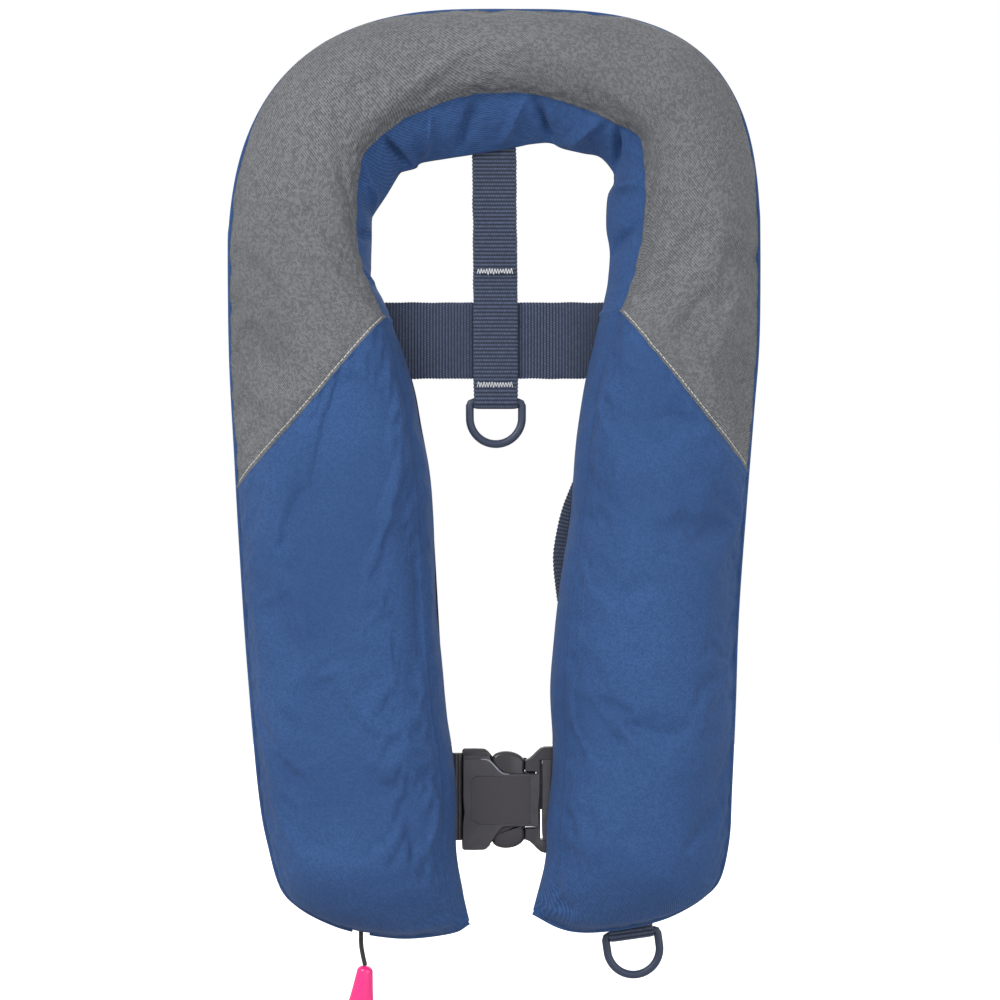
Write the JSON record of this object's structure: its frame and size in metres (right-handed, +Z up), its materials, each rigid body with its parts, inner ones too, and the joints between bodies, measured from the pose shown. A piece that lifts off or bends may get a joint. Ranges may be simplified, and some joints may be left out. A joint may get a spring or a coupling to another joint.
{
  "type": "inflatable life jacket",
  "caption": "Horseshoe inflatable life jacket with waist belt, side-release buckle, harness D-rings and a pull toggle below the hem.",
  "frame": {"origin": "neck rest: middle of the collar's inner top edge, where a hanger or the wearer's neck carries the jacket", "axes": "+Z up as worn, the cover's front faces -Y, +X is the wearer's left"},
  "size_m": [0.3453, 0.0761, 0.6798],
  "materials": {
    "cover_blue": "woven, matt",
    "cover_grey": "woven, matt",
    "webbing_navy": "ribbed webbing",
    "lining_black": "coated lining",
    "thread_white": "polyester thread",
    "bladder_yellow": "coated nylon",
    "plastic_black": "moulded, satin",
    "plastic_navy": "moulded, satin",
    "toggle_pink": "moulded, gloss",
    "clip_green": "moulded",
    "cap_yellow": "moulded",
    "cylinder_steel": "plated",
    "tube_black": "matt"
  },
  "bodies": {
    "root": {"cover_yoke_front": "cover_grey", "cover_left_front": "cover_blue", "cover_right_front": "cover_blue", "cover_inner_collar": "cover_blue", "cover_left_inner": "cover_blue", "cover_right_inner": "cover_blue", "cover_back_panel": "lining_black", "edge_binding": "cover_blue", "hem_binding_left": "cover_blue", "hook_strip_left": "lining_black", "hook_strip_right": "lining_black", "loop_strip_left": "lining_black", "loop_strip_right": "lining_black", "bladder": "bladder_yellow", "inflator_body": "plastic_black", "status_clip": "clip_green", "oral_tube": "tube_black", "oral_valve": "plastic_black", "whistle": "cap_yellow", "lifting_loop": "webbing_navy", "back_strap": "webbing_navy", "bar_tack_upper": "thread_white", "bar_tack_lower": "thread_white", "belt_back": "webbing_navy", "belt_left": "webbing_navy", "belt_right": "webbing_navy", "belt_loop_left": "webbing_navy", "belt_loop_right": "webbing_navy", "buckle_housing": "plastic_black", "housing_webbing": "webbing_navy", "front_ring_tab": "webbing_navy"},
    "plug": {"buckle_plug": "plastic_black", "plug_webbing": "webbing_navy"},
    "upper_latch": {"latch_arm_upper": "plastic_black"},
    "lower_latch": {"latch_arm_lower": "plastic_black"},
    "harness_ring": {"back_ring": "plastic_navy"},
    "crotch_ring": {"front_ring": "plastic_navy"},
    "pull": {"inner_pull_cord": "tube_black"},
    "toggle": {"pull_cord": "tube_black", "pull_toggle": "toggle_pink"},
    "lever": {"firing_lever": "plastic_black"},
    "bottle": {"gas_cylinder": "cylinder_steel"},
    "cartridge": {"auto_cap": "cap_yellow"},
    "tube_cap": {"valve_cap": "tube_black"},
    "adjuster": {"belt_adjuster": "plastic_black"},
    "keeper": {"belt_keeper": "lining_black"}
  },
  "joints": [
    {"name": "buckle_release", "type": "slide", "parent": "root", "child": "plug", "axis": [1, 0, 0], "range_m": [0, 0.028]},
    {"name": "latch_upper_flex", "type": "hinge", "parent": "plug", "child": "upper_latch", "pos_m": [0.028, 0.031, -0.4093], "axis": [0, -1, 0], "range_deg": [0, 10]},
    {"name": "latch_lower_flex", "type": "hinge", "parent": "plug", "child": "lower_latch", "pos_m": [0.028, 0.031, -0.4381], "axis": [0, 1, 0], "range_deg": [0, 10]},
    {"name": "back_ring_swing", "type": "hinge", "parent": "root", "child": "harness_ring", "pos_m": [0.0012, 0.032, -0.1634], "axis": [1, 0, 0], "range_deg": [-120, 120]},
    {"name": "front_ring_swing", "type": "hinge", "parent": "root", "child": "crotch_ring", "pos_m": [0.0896, 0.0235, -0.5102], "axis": [0.9903, 0, 0.1392], "range_deg": [-70, 100]},
    {"name": "toggle_pull", "type": "slide", "parent": "root", "child": "pull", "axis": [0, 0, -1], "range_m": [0, 0.017]},
    {"name": "toggle_swing", "type": "hinge", "parent": "pull", "child": "toggle", "pos_m": [-0.0865, 0.0142, -0.5125], "axis": [0, 1, 0], "range_deg": [-40, 40]},
    {"name": "firing_lever_turn", "type": "hinge", "parent": "root", "child": "lever", "pos_m": [-0.103, 0.0089, -0.45235], "axis": [0, 1, 0], "range_deg": [0, 70]},
    {"name": "cylinder_unscrew", "type": "hinge", "parent": "root", "child": "bottle", "pos_m": [-0.097, -0.011, -0.34], "axis": [0, 0, 1], "continuous": true},
    {"name": "auto_cap_unscrew", "type": "hinge", "parent": "root", "child": "cartridge", "pos_m": [-0.0797, -0.011, -0.432], "axis": [1, 0, 0], "continuous": true},
    {"name": "valve_cap_pull", "type": "slide", "parent": "root", "child": "tube_cap", "axis": [0, 0, 1], "range_m": [0, 0.012]},
    {"name": "adjuster_slide", "type": "slide", "parent": "root", "child": "adjuster", "axis": [1, 0, 0], "range_m": [-0.004, 0.058]},
    {"name": "keeper_slide", "type": "slide", "parent": "root", "child": "keeper", "axis": [1, 0, 0], "range_m": [-0.06, 0.01]}
  ],
  "couplings": [
    {"joint": "latch_upper_flex", "follows": "buckle_release", "rad_per_m": 6.2},
    {"joint": "latch_lower_flex", "follows": "buckle_release", "rad_per_m": 6.2},
    {"joint": "firing_lever_turn", "follows": "toggle_pull", "rad_per_m": 71}
  ]
}
